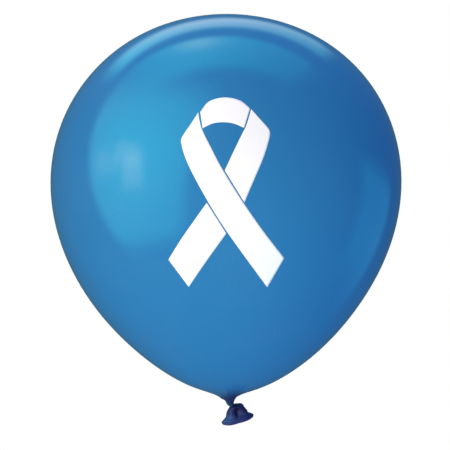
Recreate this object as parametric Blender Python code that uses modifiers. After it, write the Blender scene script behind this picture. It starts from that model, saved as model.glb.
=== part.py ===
"""A round latex balloon, filled and tied off, with a folded ribbon loop printed on its front.

Units are metres and +Z is up. The origin is in the waist of the neck, where a string or a stick
cup holds the balloon. The print faces -Y.
"""

import math

import bmesh
import bpy
from mathutils import Euler, Vector

MM = 0.001
GAP = 0.3 * MM
SHARP_EDGE = math.radians(40)

# Round body: height and girth against the angle from the crown
WALL = 0.4 * MM
CROWN_Z = 330.9 * MM
TIP_Z = 6.3 * MM
SAG = 3.6 * MM
SPREAD = 8.7 * MM
GIRTH = 148.25 * MM
PEAR = 25.3 * MM
BLUNT = 19.0 * MM
TURN = 6.8 * MM
BODY_STEPS = 48
BODY_RINGS = 24

# The body's axis stands beside the neck and bends over to it
AXIS_BEND = 2.1 * MM
AXIS_BEND_HEIGHT = 4.0 * MM
AXIS_LEAN = 1.2 * MM
AXIS_LEAN_FROM = 10.0 * MM
AXIS_LEAN_TO = 90.0 * MM

# Throat: the gathered funnel between the body and the neck's waist
THROAT_TOP_Z = 11.0 * MM
THROAT_TOP_HANDLE = 14.0 * MM
THROAT_WAIST_HANDLE = 4.9 * MM
THROAT_WALL = 0.5 * MM
THROAT_RINGS = 7
WAIST_RADIUS = 3.25 * MM
GATHERS = 9
GATHER_DEPTH = 0.09
GATHER_REACH = 6.0 * MM

# Knot: a strand wound once round the neck
KNOT_CENTRE = Vector((6.6, 0.0, -3.5)) * MM
KNOT_TILT = math.radians(8)
KNOT_RING_RADIUS = 3.7 * MM
STRAND_RADIUS = 1.85 * MM
STRAND_SMOOTHNESS = 3
RING_STEPS = 32
RING_SIDES = 12
CORE_RADIUS = 1.5 * MM
CORE_PLACES = (-1.3, -0.4, 0.5, 1.4, 2.3)
CORE_SWELLS = (0.7, 1.0, 1.0, 1.0, 1.0)
NECK_TOP_DROP = 0.48 * MM
NECK_TURN = math.radians(44)
NECK_INSIDE_BEND = 0.25 * MM
NECK_END_RADIUS = 2.3 * MM
NECK_RINGS = 8

# Tail: the bell of loose neck below the knot, flattened and hung with its near lip low
MOUTH_TILT = math.radians(16)
MOUTH_NOD = math.radians(13)
TAIL_LENGTH = 7.1 * MM
TAIL_HOLE_RADIUS = 1.9 * MM
TAIL_SHOULDER_RADIUS = 8.1 * MM
TAIL_SHOULDER_DROP = 1.8 * MM
TAIL_WAIST_RADIUS = 8.7 * MM
TAIL_SKIRT_RADIUS = 8.96 * MM
TAIL_SKIRT_SHARE = 0.62
TAIL_MOUTH_RADIUS = 12.1 * MM
TAIL_FLATNESS = 0.74
TAIL_WALL = 0.6 * MM
TAIL_STEPS = 48
SHOULDER_RINGS = 5
FLARE_RINGS = 4
BEAD_RADIUS = 1.3 * MM
BEAD_DROP = 2.02 * MM
BEAD_SPREAD = 0.3 * MM

# Pleats in the tail: where each lies round the bell, in degrees from the front, and how deep
PLEATS = ((0, 0.26), (62, 0.12), (118, 0.17), (176, 0.22), (231, 0.13), (297, 0.15))
PLEAT_WIDTH = math.radians(17)
PLEAT_GROWTH = 0.3
PLEAT_FADE = 0.55

# Printed ribbon: thin ink, in a front elevation of X and Z in millimetres
INK_GAP = 0.35 * MM
INK_DEPTH = 0.25 * MM
LOOP_OUTER = ((-23.9, 241.9), (-16.9, 250.4), (-4.4, 253.7), (8.1, 251.2), (16.3, 244.8))
LOOP_INNER = ((-22.0, 228.6), (-13.7, 232.4), (-5.2, 233.4), (3.2, 232.3), (11.3, 228.9))
FRONT_LEFT = ((-25.4, 241.7), (-31.5, 232.1), (-38.3, 222.0), (-39.4, 217.6), (-34.2, 200.8),
              (-17.5, 169.3), (-1.7, 144.4), (30.3, 100.2))
FRONT_RIGHT = ((-24.9, 236.9), (-22.8, 228.5), (-15.4, 213.4), (-6.7, 196.8), (9.8, 170.3),
               (26.2, 146.8), (43.9, 124.0))
BACK_TOP_RIGHT = ((17.2, 244.0), (24.2, 236.2), (31.6, 227.7), (32.4, 224.8), (30.9, 217.5),
                  (26.6, 204.1), (19.6, 187.7), (11.6, 169.0))
BACK_TOP_LEFT = ((15.6, 238.6), (12.5, 229.2), (10.7, 225.9), (3.1, 210.2), (-4.2, 194.6))
BACK_END_LEFT = ((-18.6, 168.7), (-29.7, 153.2), (-39.5, 139.2), (-49.8, 122.8))
BACK_END_RIGHT = ((-2.9, 144.0), (-13.7, 129.1), (-23.4, 115.3), (-33.4, 100.5))

LATEX_BLUE = (0.027, 0.19, 0.46)
LATEX_NAVY = (0.02, 0.035, 0.22)
INK_WHITE = (0.93, 0.94, 0.95)
TAUT_ROUGHNESS = 0.12
SLACK_ROUGHNESS = 0.3
INK_ROUGHNESS = 0.45


def clear_scene():
    for obj in list(bpy.data.objects):
        bpy.data.objects.remove(obj, do_unlink=True)


def new_collection(name):
    collection = bpy.data.collections.new(name)
    bpy.context.scene.collection.children.link(collection)
    return collection


def finish(name, colour, roughness):
    """A Principled material with one colour and one roughness."""
    material = bpy.data.materials.new(name)
    material.use_nodes = True
    shader = material.node_tree.nodes["Principled BSDF"]
    shader.inputs["Base Color"].default_value = (*colour, 1.0)
    shader.inputs["Roughness"].default_value = roughness
    shader.inputs["Metallic"].default_value = 0.0
    return material


def add_object(collection, name, data, material):
    obj = bpy.data.objects.new(name, data)
    data.materials.append(material)
    collection.objects.link(obj)
    return obj


def shade_round(mesh):
    mesh.shade_smooth()
    mesh.set_sharp_from_angle(angle=SHARP_EDGE)


def thicken(obj, thickness, outward=False):
    """Give an open surface its wall, inwards unless it is told to grow outwards."""
    wall = obj.modifiers.new("wall", "SOLIDIFY")
    wall.thickness = thickness
    wall.offset = 1.0 if outward else -1.0
    wall.use_even_offset = True


def smooth_step(value, low, high):
    share = min(max((value - low) / (high - low), 0.0), 1.0)
    return share * share * (3.0 - 2.0 * share)


def body_point(angle):
    """Radius and height of the round body at an angle from its crown."""
    c = math.cos(angle)
    s = math.sin(angle)
    middle = (CROWN_Z + TIP_Z) / 2
    half = (CROWN_Z - TIP_Z) / 2
    radius = s * (GIRTH + PEAR * c - BLUNT * c * c + TURN * c ** 3)
    height = middle + half * c - SAG * s * s + SPREAD * c * s * s
    return radius, height


def body_angle(height):
    """The angle from the crown at which the body has this height."""
    low = 0.0
    high = math.pi
    for _ in range(40):
        middle = (low + high) / 2
        if body_point(middle)[1] > height:
            low = middle
        else:
            high = middle
    return (low + high) / 2


def body_slope(angle):
    """Unit vector along the profile, heading down from the crown."""
    step = 0.001
    before = Vector(body_point(angle - step))
    after = Vector(body_point(angle + step))
    return (after - before).normalized()


def axis_x(height):
    """Where the body's axis lies at a height: over the origin at the waist, and left of it above."""
    bend = AXIS_BEND * (1.0 - math.exp(-max(height, 0.0) / AXIS_BEND_HEIGHT))
    lean = AXIS_LEAN * smooth_step(height, AXIS_LEAN_FROM, AXIS_LEAN_TO)
    return -bend - lean


def turned_mesh(name, profile, steps):
    """A mesh turned about Z from a profile of radius and height, top to bottom."""
    mesh = bpy.data.meshes.new(name)
    edges = [(i, i + 1) for i in range(len(profile) - 1)]
    mesh.from_pydata([(radius, 0.0, height) for radius, height in profile], edges, [])
    turning = bpy.data.objects.new(name + "_profile", mesh)
    bpy.context.scene.collection.objects.link(turning)
    screw = turning.modifiers.new("turn", "SCREW")
    screw.steps = steps
    screw.render_steps = steps
    screw.use_merge_vertices = True
    screw.merge_threshold = 0.00001
    graph = bpy.context.evaluated_depsgraph_get()
    turned = bpy.data.meshes.new_from_object(turning.evaluated_get(graph))
    bpy.data.objects.remove(turning, do_unlink=True)
    turned.name = name
    return turned


def follow_axis(mesh):
    for vertex in mesh.vertices:
        vertex.co.x += axis_x(vertex.co.z)


def make_envelope(collection, material):
    last = body_angle(THROAT_TOP_Z + GAP)
    profile = [body_point(last * i / BODY_RINGS) for i in range(BODY_RINGS + 1)]
    mesh = turned_mesh("envelope", profile, BODY_STEPS)
    follow_axis(mesh)
    shade_round(mesh)
    thicken(add_object(collection, "envelope", mesh, material), WALL)


def throat_profile():
    """A cubic curve from the body's own slope down into the upright waist."""
    top_angle = body_angle(THROAT_TOP_Z)
    top = Vector(body_point(top_angle))
    leaving = top + body_slope(top_angle) * THROAT_TOP_HANDLE
    waist = Vector((WAIST_RADIUS, 0.0))
    arriving = waist + Vector((0.0, THROAT_WAIST_HANDLE))
    points = []
    for i in range(THROAT_RINGS + 1):
        t = i / THROAT_RINGS
        u = 1.0 - t
        point = u ** 3 * top + 3 * u * u * t * leaving + 3 * u * t * t * arriving + t ** 3 * waist
        points.append(tuple(point))
    return points


def make_throat(collection, material):
    mesh = turned_mesh("throat", throat_profile(), BODY_STEPS)
    for vertex in mesh.vertices:
        around = math.atan2(vertex.co.y, vertex.co.x)
        depth = GATHER_DEPTH * (1.0 - smooth_step(vertex.co.z, 0.0, GATHER_REACH))
        swell = 1.0 + depth * math.cos(GATHERS * around)
        vertex.co.x *= swell
        vertex.co.y *= swell
    follow_axis(mesh)
    shade_round(mesh)
    thicken(add_object(collection, "throat", mesh, material), THROAT_WALL)


def add_tube(collection, name, points, radii, radius, material, closed=False):
    """A round strand along a line of points, thickened or thinned at each of them."""
    curve = bpy.data.curves.new(name, "CURVE")
    curve.dimensions = "3D"
    curve.bevel_depth = radius
    curve.bevel_resolution = STRAND_SMOOTHNESS
    curve.use_fill_caps = not closed
    spline = curve.splines.new("POLY")
    spline.points.add(len(points) - 1)
    spline.use_cyclic_u = closed
    for slot, point, swell in zip(spline.points, points, radii):
        slot.co = (*point, 1.0)
        slot.radius = swell
    return add_object(collection, name, curve, material)


def knot_down():
    """Unit vector down the strand that passes through the knot."""
    return Vector((math.sin(KNOT_TILT), 0.0, -math.cos(KNOT_TILT)))


def make_neck(collection, material):
    """The stub below the waist, bent over to the right about a point just outside it."""
    reach = WAIST_RADIUS + NECK_INSIDE_BEND
    points = []
    swells = []
    for i in range(NECK_RINGS + 1):
        share = i / NECK_RINGS
        turn = NECK_TURN * share
        side = reach * (1.0 - math.cos(turn))
        points.append(Vector((side, 0.0, -NECK_TOP_DROP - reach * math.sin(turn))))
        swells.append(1.0 + (NECK_END_RADIUS / WAIST_RADIUS - 1.0) * share)
    add_tube(collection, "neck", points, swells, WAIST_RADIUS, material)


def make_knot(collection, material):
    """One turn of the neck as a ring, and the short strand that passes down through it."""
    core_points = [KNOT_CENTRE + knot_down() * place * MM for place in CORE_PLACES]
    add_tube(collection, "knot_core", core_points, CORE_SWELLS, CORE_RADIUS, material)
    bpy.ops.mesh.primitive_torus_add(
        major_segments=RING_STEPS,
        minor_segments=RING_SIDES,
        major_radius=KNOT_RING_RADIUS,
        minor_radius=STRAND_RADIUS,
        location=KNOT_CENTRE,
        rotation=(0.0, -KNOT_TILT, 0.0),
    )
    loop = bpy.context.active_object
    loop.name = "knot_loop"
    for home in list(loop.users_collection):
        home.objects.unlink(loop)
    collection.objects.link(loop)
    loop.data.materials.append(material)
    loop.data.shade_smooth()


def pleat(around, strength):
    """How much of its radius the bell keeps at this angle from the front."""
    kept = 1.0
    for place, depth in PLEATS:
        away = (around - math.radians(place) + math.pi) % (2 * math.pi) - math.pi
        kept -= strength * depth * math.exp(-((away / PLEAT_WIDTH) ** 2))
    return kept


def tail_point(radius, around, along, strength):
    """A point of the bell: radius, angle from the front and distance down from its top."""
    share = min(along / TAIL_LENGTH, 1.0)
    past_mouth = along - TAIL_LENGTH * share
    tilt = KNOT_TILT + (MOUTH_TILT - KNOT_TILT) * share
    turn = Euler((MOUTH_NOD * share, -tilt, 0.0)).to_matrix()
    top = KNOT_CENTRE + knot_down() * (STRAND_RADIUS + GAP)
    centre = top + Vector((0.0, 0.0, -TAIL_LENGTH * share))
    kept = radius * pleat(around, strength)
    flat = 1.0 + (TAIL_FLATNESS - 1.0) * smooth_step(share, 0.0, 1.0)
    ring = Vector((kept * math.sin(around), -kept * flat * math.cos(around), -past_mouth))
    return centre + turn @ ring


def tail_profile():
    """Radius and distance down of the bell: a round shoulder, an upright side and a flared skirt."""
    points = []
    for i in range(SHOULDER_RINGS + 1):
        turn = math.pi / 2 * i / SHOULDER_RINGS
        radius = TAIL_HOLE_RADIUS + (TAIL_SHOULDER_RADIUS - TAIL_HOLE_RADIUS) * math.sin(turn)
        points.append((radius, TAIL_SHOULDER_DROP * (1.0 - math.cos(turn))))
    points.append((TAIL_WAIST_RADIUS, TAIL_LENGTH / 2))
    skirt = TAIL_SKIRT_SHARE * TAIL_LENGTH
    points.append((TAIL_SKIRT_RADIUS, skirt))
    for i in range(1, FLARE_RINGS + 1):
        share = i / FLARE_RINGS
        radius = TAIL_SKIRT_RADIUS + (TAIL_MOUTH_RADIUS - TAIL_SKIRT_RADIUS) * share * share
        points.append((radius, skirt + (TAIL_LENGTH - skirt) * share))
    return points


def pleat_strength(along):
    """The pleats grow out of the bell's round top and open again towards its mouth."""
    share = along / TAIL_LENGTH
    return smooth_step(share, 0.0, PLEAT_GROWTH) * (1.0 - PLEAT_FADE * share)


def make_tail(collection, material):
    profile = [(radius, -along) for radius, along in tail_profile()]
    mesh = turned_mesh("tail", profile, TAIL_STEPS)
    for vertex in mesh.vertices:
        radius = math.hypot(vertex.co.x, vertex.co.y)
        around = math.atan2(vertex.co.x, -vertex.co.y)
        along = -vertex.co.z
        vertex.co = tail_point(radius, around, along, pleat_strength(along))
    shade_round(mesh)
    thicken(add_object(collection, "tail", mesh, material), TAIL_WALL)


def make_tail_bead(collection, material):
    """The rolled lip, hung just under the bell's mouth."""
    along = TAIL_LENGTH + BEAD_DROP
    radius = TAIL_MOUTH_RADIUS + BEAD_SPREAD
    points = []
    for i in range(TAIL_STEPS):
        around = 2 * math.pi * i / TAIL_STEPS
        points.append(tail_point(radius, around, along, pleat_strength(TAIL_LENGTH)))
    add_tube(collection, "tail_bead", points, [1.0] * TAIL_STEPS, BEAD_RADIUS, material, closed=True)


def along_line(points, share):
    """A point at a share of the length of a smooth line through all the points."""
    line = [Vector(point) for point in points]
    spans = [(b - a).length for a, b in zip(line, line[1:])]
    left = share * sum(spans)
    i = 0
    while i < len(spans) - 1 and left > spans[i]:
        left -= spans[i]
        i += 1
    t = min(left / spans[i], 1.0)
    start, end = line[i], line[i + 1]
    before = line[i - 1] if i > 0 else start + start - end
    after = line[i + 2] if i + 2 < len(line) else end + end - start
    leave = (end - before) * spans[i] / ((end - start).length + (start - before).length)
    arrive = (after - start) * spans[i] / ((after - end).length + (end - start).length)
    return (
        start * (2 * t ** 3 - 3 * t * t + 1)
        + leave * (t ** 3 - 2 * t * t + t)
        + end * (3 * t * t - 2 * t ** 3)
        + arrive * (t ** 3 - t * t)
    )


def on_front(x, z, clearance):
    """The point in front of the body at this place in the front elevation."""
    angle = body_angle(z)
    radius = body_point(angle)[0]
    slope = body_slope(angle)
    sideways = x - axis_x(z)
    depth = -math.sqrt(radius * radius - sideways * sideways)
    outward = Vector((sideways / radius * -slope.y, depth / radius * -slope.y, slope.x))
    return Vector((x, depth, z)) + outward * clearance


def make_ink(collection, name, left, right, cells_along, cells_across, material):
    """A film of ink on the body between two lines of the front elevation."""
    sheet = bmesh.new()
    bmesh.ops.create_grid(sheet, x_segments=cells_across, y_segments=cells_along, size=0.5)
    for vertex in sheet.verts:
        across = vertex.co.x + 0.5
        down = 0.5 - vertex.co.y
        place = along_line(left, down).lerp(along_line(right, down), across) * MM
        vertex.co = on_front(place.x, place.y, INK_GAP)
    bmesh.ops.recalc_face_normals(sheet, faces=sheet.faces)
    sheet.normal_update()
    if sum(face.normal.y for face in sheet.faces) > 0:
        bmesh.ops.reverse_faces(sheet, faces=sheet.faces)
    mesh = bpy.data.meshes.new(name)
    sheet.to_mesh(mesh)
    sheet.free()
    thicken(add_object(collection, name, mesh, material), INK_DEPTH, outward=True)


def make_print(collection, material):
    make_ink(collection, "print_loop", LOOP_INNER, LOOP_OUTER, 12, 3, material)
    make_ink(collection, "print_front_leg", FRONT_LEFT, FRONT_RIGHT, 22, 4, material)
    make_ink(collection, "print_back_leg_upper", BACK_TOP_LEFT, BACK_TOP_RIGHT, 12, 4, material)
    make_ink(collection, "print_back_leg_lower", BACK_END_LEFT, BACK_END_RIGHT, 8, 4, material)


def main():
    clear_scene()
    balloon = new_collection("printed_latex_balloon")
    blue = finish("stretched_latex", LATEX_BLUE, TAUT_ROUGHNESS)
    navy = finish("unstretched_latex", LATEX_NAVY, SLACK_ROUGHNESS)
    ink = finish("white_ink", INK_WHITE, INK_ROUGHNESS)
    make_envelope(balloon, blue)
    make_throat(balloon, blue)
    make_neck(balloon, navy)
    make_knot(balloon, navy)
    make_tail(balloon, navy)
    make_tail_bead(balloon, navy)
    make_print(balloon, ink)


main()
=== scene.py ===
"""The looks of a round latex balloon, tied off at its neck, with a folded ribbon loop printed on it.

Units are metres and +Z is up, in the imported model's own frame: the origin is in the waist of the neck
and the print faces -Y. Lengths below are given in millimetres and multiplied by MM.
"""

import math

import bmesh
import bpy
from mathutils import Euler, Matrix, Vector


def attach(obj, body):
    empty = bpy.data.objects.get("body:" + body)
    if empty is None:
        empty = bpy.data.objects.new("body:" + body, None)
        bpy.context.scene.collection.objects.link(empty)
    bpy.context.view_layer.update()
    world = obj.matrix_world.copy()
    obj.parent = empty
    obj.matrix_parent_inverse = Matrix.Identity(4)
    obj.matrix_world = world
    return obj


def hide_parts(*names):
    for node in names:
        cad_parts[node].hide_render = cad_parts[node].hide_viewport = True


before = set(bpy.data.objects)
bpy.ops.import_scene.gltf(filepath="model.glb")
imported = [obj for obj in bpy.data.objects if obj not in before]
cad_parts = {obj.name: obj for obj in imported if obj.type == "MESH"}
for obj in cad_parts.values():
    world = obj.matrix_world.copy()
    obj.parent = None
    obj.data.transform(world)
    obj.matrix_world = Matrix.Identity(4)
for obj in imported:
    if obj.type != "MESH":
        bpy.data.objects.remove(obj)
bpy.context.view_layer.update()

MM = 0.001
FULL_TURN = 2 * math.pi

# Camera: level, long lens, in front of the print
CAMERA_PLACE = Vector((-4.0, -2400.0, 150.8)) * MM
CAMERA_LENS = 224.6
CAMERA_SENSOR = 36.0
CAMERA_CLIP = (0.05, 50.0)

# Points closer than this are one point
MERGE_DISTANCE = 0.002 * MM

# Round body: height and girth against the angle from the crown
SKIN_WALL = 0.4 * MM
CROWN_Z = 330.9 * MM
TIP_Z = 6.3 * MM
SAG = 3.6 * MM
SPREAD = 8.7 * MM
GIRTH = 148.25 * MM
PEAR = 25.3 * MM
BLUNT = 19.0 * MM
TURN = 6.8 * MM
# Where the body is a little flat, or full if the depth is below nought: the angle from the crown
# to the right in degrees, the depth in millimetres and the width in degrees
PRESSED = ((-50, 1.4, 30), (150, -0.8, 24))
PRESSED_CENTRE = Vector((-3.3, 0.0, 180.0)) * MM
BODY_STEPS = 160
BODY_RINGS = 84

# The body's axis stands beside the neck and bends over to it
AXIS_BEND = 2.1 * MM
AXIS_BEND_FROM = 1.0 * MM
AXIS_BEND_HEIGHT = 3.5 * MM
AXIS_LEAN = 1.2 * MM
AXIS_LEAN_FROM = 10.0 * MM
AXIS_LEAN_TO = 90.0 * MM

# Throat and neck: a gathered funnel, then a strand that runs right and forward into the knot
THROAT_TOP_Z = 11.0 * MM
THROAT_TOP_HANDLE = 14.0 * MM
THROAT_WAIST_HANDLE = 4.9 * MM
THROAT_RINGS = 26
WAIST_RADIUS = 3.45 * MM
NECK_PATH = ((0.0, 0.0, 0.0), (0.2, 0.0, -2.0), (1.7, -2.2, -4.5), (6.2, -3.3, -5.2))
NECK_TURN = math.radians(35)
NECK_END_RADIUS = 1.6 * MM
NECK_SPUN_LENGTH = 8.0 * MM
NECK_RINGS = 24
# The shares of its way over which the neck slims
NECK_SLIMS = (-0.1, 0.85)

# Two folds stand out of the funnel: their lower end, crest and upper end, and how far each stands out
FOLD_FOOT = 0.3 * MM
FOLD_CREST = 2.8 * MM
FOLD_TOP = 9.0 * MM
FOLD_RIGHT = 1.2 * MM
FOLD_LEFT = 1.6 * MM

# Gathers in the throat and neck: how many go round, their depth as a share of the radius, and their
# offset. The sharp ones twist as they rise, by this much for each millimetre.
SHARP_GATHERS = ((9, 0.075, 0.0), (23, 0.030, 1.3), (38, 0.012, 0.4))
SHARP_GATHERS_FADE = (-1.0 * MM, 7.0 * MM)
GATHER_TWIST = 0.10
FAINT_GATHERS = ((17, 0.0045, 0.8), (29, 0.003, 2.0))
FAINT_GATHERS_FADE = (2.0 * MM, 26.0 * MM)

# How taut the skin is, from 0 to 1: it rises from the neck to a line that is lower on the left, is
# streaked above the tie, and drops a little at the crown's thick tip
SLACK_FOOT = 1.5 * MM
SLACK_TOP = 12.0 * MM
SLACK_TOP_SWING = 4.5 * MM
NEARLY_TAUT = 0.92
FULLY_TAUT_Z = 40.0 * MM
STREAKS = 13
STREAK_OFFSET = 0.9
STREAK_DEPTH = 0.3
STREAK_FADE = (3.0 * MM, 15.0 * MM)
TIP_SLACK = 0.22
TIP_RADII = (4.0 * MM, 15.0 * MM)

# How much painted shade the skin gets, from 0 to 1: in the creases between the gathers, and all round at
# the tie
FOLD_SHADE = 9.0
FOLD_SHADE_TOP = 6.0 * MM
TIE_SHADE = 0.45
TIE_SHADE_FADE = (-1.5 * MM, 2.5 * MM)

# Knot: a strand wound once round the neck, and the short end inside it
KNOT_CENTRE = Vector((6.6, 0.0, -3.5)) * MM
KNOT_TILT = math.radians(4)
KNOT_NOD = math.radians(12)
KNOT_DROP = 0.7 * MM
KNOT_RING_RADIUS = 3.6 * MM
STRAND_RADIUS = 1.85 * MM
WRAP_STEPS = 160
WRAP_SIDES = 36
# The turn is pinched and drawn in at its front, and pinched a little at its back
WRAP_FRONT = math.radians(-5)
WRAP_BACK = math.radians(176)
WRAP_PINCH_WIDTH = math.radians(24)
WRAP_PINCH = 0.20
WRAP_PINCH_DEPTH = 0.45 * MM
WRAP_BACK_PINCH = 0.12
WRAP_TAUT = 0.08
# Ridges along the turn: depth, how many go round the strand and round the turn, and an offset
WRAP_RIDGES = ((0.055, 7, 2, 0.0), (0.03, 13, -3, 1.0))
# Painted shade on the turn: how much darker its front pinch and its back pinch are painted, and how much
# the troughs between the ridges are
WRAP_FRONT_SHADE = 0.75
WRAP_BACK_SHADE = 0.4
RIDGE_SHADE = 7.0
CORE_RADIUS = 1.5 * MM
CORE_TOP = -1.6 * MM
CORE_FOOT = 2.6 * MM
CORE_STEPS = 64
CORE_RINGS = 20
CORE_TIP_SIZE = 0.72
CORE_TIP_SHARE = 0.3
# Wrinkles: depth, how many go round, and their twist for each millimetre
CORE_WRINKLES = (0.06, 8, 0.7)
CORE_TAUT = 0.05
# The short strand is painted darker all over, as painted shade down inside the turn
CORE_SHADE = 0.6

# Tail: the bell of loose neck below the knot, flattened and hung with its near lip low
BELL_TOP = Vector((6.25, 0.0, -5.65)) * MM
BELL_TOP_TILT = math.radians(1)
BELL_LEAN = 0.1 * MM
MOUTH_TILT = math.radians(15)
MOUTH_NOD = math.radians(15)
TAIL_LENGTH = 7.5 * MM
# Shoulder: radius, and distance down from the top, in millimetres
TAIL_SHOULDER = ((1.9, -2.9), (3.7, -2.8), (5.0, -2.2), (6.0, -1.3), (6.8, -0.5), (7.5, 0.4),
                 (8.2, 1.3), (8.8, 2.2), (9.3, 3.2))
SHOULDER_RINGS = 18
SIDE_RINGS = 4
FLARE_RINGS = 12
TAIL_SKIRT_RADIUS = 9.6 * MM
TAIL_SKIRT_SHARE = 0.62
TAIL_MOUTH_RADIUS = 12.6 * MM
TAIL_FLATNESS = 0.74
TAIL_WALL = 0.6 * MM
TAIL_INTO_LIP = 1.5 * MM
LIP_RADIUS = 1.3 * MM
LIP_DROP = 2.02 * MM
LIP_SPREAD = 0.3 * MM
LIP_SIDES = 28
LIP_TAUT = 0.05
# Painted shade along the lip's seam, where the rolls meet
LIP_SEAM_SHADE = 0.5
# Where the lip's seam runs, as an angle round its roll, and half the seam's width
LIP_SEAM = 2.4
LIP_SEAM_WIDTH = 0.5
# Unevenness of the lip: depth, and how many times it comes round the roll and round the mouth
LIP_ROLLS = ((0.05, 3, 4), (0.03, 0, 31))
TAIL_STEPS = 192
# The bell isn't quite round: by how much, how many times round, and an offset
TAIL_WANDER = (0.012, 5, 2.1)
TAIL_WANDER_BEGINS = (1.0 * MM, 4.0 * MM)
# How taut the bell is at its top and how much more so at its mouth, and how much painted shade a pleat gets
# for its depth and how much less so at the mouth; then the painted shade up at the bell's root in the knot
TAIL_TAUT = (0.02, 0.10)
TAIL_PLEAT_SHADE = (3.4, 1.6)
TAIL_ROOT_SHADE = 0.5

# A painted light patch on the bell's left side, where it faces the light, carried as extra tautness: how
# much tauter it is, its angle from the front and its width, in radians
TAIL_PAINTED_LIGHT = 0.16
TAIL_PAINTED_LIGHT_AT = -0.9
TAIL_PAINTED_LIGHT_WIDTH = 0.5

# Pleats: where each lies round the bell, in degrees from the front, how deep it is and how wide
PLEATS = (
    (1, 0.55, 21), (58, 0.12, 15), (118, 0.17, 17), (176, 0.30, 15), (231, 0.13, 17), (300, 0.13, 15),
    (27, 0.045, 6), (43, 0.035, 5), (86, 0.05, 6), (101, 0.035, 5), (139, 0.05, 6), (155, 0.04, 5),
    (199, 0.045, 6), (213, 0.04, 5), (254, 0.05, 6), (273, 0.04, 5), (318, 0.05, 6), (336, 0.045, 6),
)
# The shares of the bell's length over which the pleats begin, and how far they open at its mouth
PLEATS_BEGIN = (-0.15, 0.2)
PLEATS_OPEN = 0.7

# Printed ribbon, in a front elevation of X and Z in millimetres
INK_LIFT = 0.06 * MM
INK_DEPTH = 0.05 * MM
LOOP_OUTER = ((-23.9, 241.9), (-16.9, 250.4), (-4.4, 253.7), (8.1, 251.2), (16.3, 244.8))
LOOP_INNER = ((-22.0, 228.6), (-13.7, 232.4), (-5.2, 233.4), (3.2, 232.3), (11.3, 228.9))
FRONT_LEFT = ((-25.4, 241.7), (-31.5, 232.1), (-38.3, 222.0), (-39.4, 217.6), (-34.2, 200.8),
              (-17.5, 169.3), (-1.7, 144.4), (30.3, 100.2))
FRONT_RIGHT = ((-24.9, 236.9), (-22.8, 228.5), (-15.4, 213.4), (-6.7, 196.8), (9.8, 170.3),
               (26.2, 146.8), (43.9, 124.0))
BACK_TOP_RIGHT = ((17.2, 244.0), (24.2, 236.2), (31.6, 227.7), (32.4, 224.8), (30.9, 217.5),
                  (26.6, 204.1), (19.6, 187.7), (11.6, 169.0))
BACK_TOP_LEFT = ((15.6, 238.6), (12.5, 229.2), (10.7, 225.9), (3.1, 210.2), (-4.2, 194.6))
BACK_END_LEFT = ((-18.6, 168.7), (-29.7, 153.2), (-39.5, 139.2), (-49.8, 122.8))
BACK_END_RIGHT = ((-2.9, 144.0), (-13.7, 129.1), (-23.4, 115.3), (-33.4, 100.5))

# Floor: a disc of paper far below the balloon, which floats, and the distances over which it fades out
FLOOR_Z = -1300.0 * MM
FLOOR_RADIUS = 3.6
FLOOR_STEPS = 96
FLOOR_FADE = (1.0, 3.4)

# Colours, linear
TAUT_BLUE = (0.027, 0.19, 0.438)
SLACK_NAVY = (0.020, 0.020, 0.12)
# Painted shade: the dark navy that creases are painted towards
PAINTED_SHADE_NAVY = (0.002, 0.002, 0.035)
INK_WHITE = (0.95, 0.955, 0.96)
THIN_INK = (0.35, 0.52, 0.72)
BLOOM_WHITE = (0.45, 0.5, 0.6)
FLOOR_WHITE = (0.87, 0.873, 0.61)


def smooth_step(value, low, high):
    share = min(max((value - low) / (high - low), 0.0), 1.0)
    return share * share * (3.0 - 2.0 * share)


# Shape of the body


def body_point(angle):
    """Radius and height of the round body at an angle from its crown."""
    c = math.cos(angle)
    s = math.sin(angle)
    middle = (CROWN_Z + TIP_Z) / 2
    half = (CROWN_Z - TIP_Z) / 2
    radius = s * (GIRTH + PEAR * c - BLUNT * c * c + TURN * c ** 3)
    height = middle + half * c - SAG * s * s + SPREAD * c * s * s
    return radius, height


def body_angle(height):
    """The angle from the crown at which the body has this height."""
    low = 0.0
    high = math.pi
    for _ in range(40):
        middle = (low + high) / 2
        if body_point(middle)[1] > height:
            low = middle
        else:
            high = middle
    return (low + high) / 2


def body_slope(angle):
    """Unit vector along the profile, heading down from the crown."""
    step = 0.001
    before = Vector(body_point(angle - step))
    after = Vector(body_point(angle + step))
    return (after - before).normalized()


def axis_x(height):
    """Where the body's axis lies at a height: over the origin at the waist, and left of it above."""
    bend = AXIS_BEND * (1.0 - math.exp(-max(height - AXIS_BEND_FROM, 0.0) / AXIS_BEND_HEIGHT))
    lean = AXIS_LEAN * smooth_step(height, AXIS_LEAN_FROM, AXIS_LEAN_TO)
    return -bend - lean


def throat_point(share):
    """Radius and height along the funnel, from the body's own slope down into the upright waist."""
    top_angle = body_angle(THROAT_TOP_Z)
    top = Vector(body_point(top_angle))
    leaving = top + body_slope(top_angle) * THROAT_TOP_HANDLE
    waist = Vector((WAIST_RADIUS, 0.0))
    arriving = waist + Vector((0.0, THROAT_WAIST_HANDLE))
    t = share
    u = 1.0 - t
    return u ** 3 * top + 3 * u * u * t * leaving + 3 * u * t * t * arriving + t ** 3 * waist


def neck_place(share):
    """Centre of the neck at a share of its way into the knot, and its turn away from straight down."""
    a, b, c, d = (Vector(point) * MM for point in NECK_PATH)
    t, u = share, 1.0 - share
    centre = u ** 3 * a + 3 * u * u * t * b + 3 * u * t * t * c + t ** 3 * d
    aside = Vector((d.x, d.y, 0.0)).normalized() * math.sin(NECK_TURN * share)
    heading = aside - Vector((0.0, 0.0, math.cos(NECK_TURN * share)))
    return centre, Vector((0.0, 0.0, -1.0)).rotation_difference(heading).to_matrix()


def pressed(place):
    """The body pushed in or out where it isn't quite round."""
    away = place - PRESSED_CENTRE
    moved = place.copy()
    for angle, depth, width in PRESSED:
        a = math.radians(angle)
        toward = away.angle(Vector((math.sin(a), 0.0, math.cos(a)))) / math.radians(width)
        moved -= away.normalized() * depth * MM * math.exp(-toward * toward)
    return moved


# Mesh helpers


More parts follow.
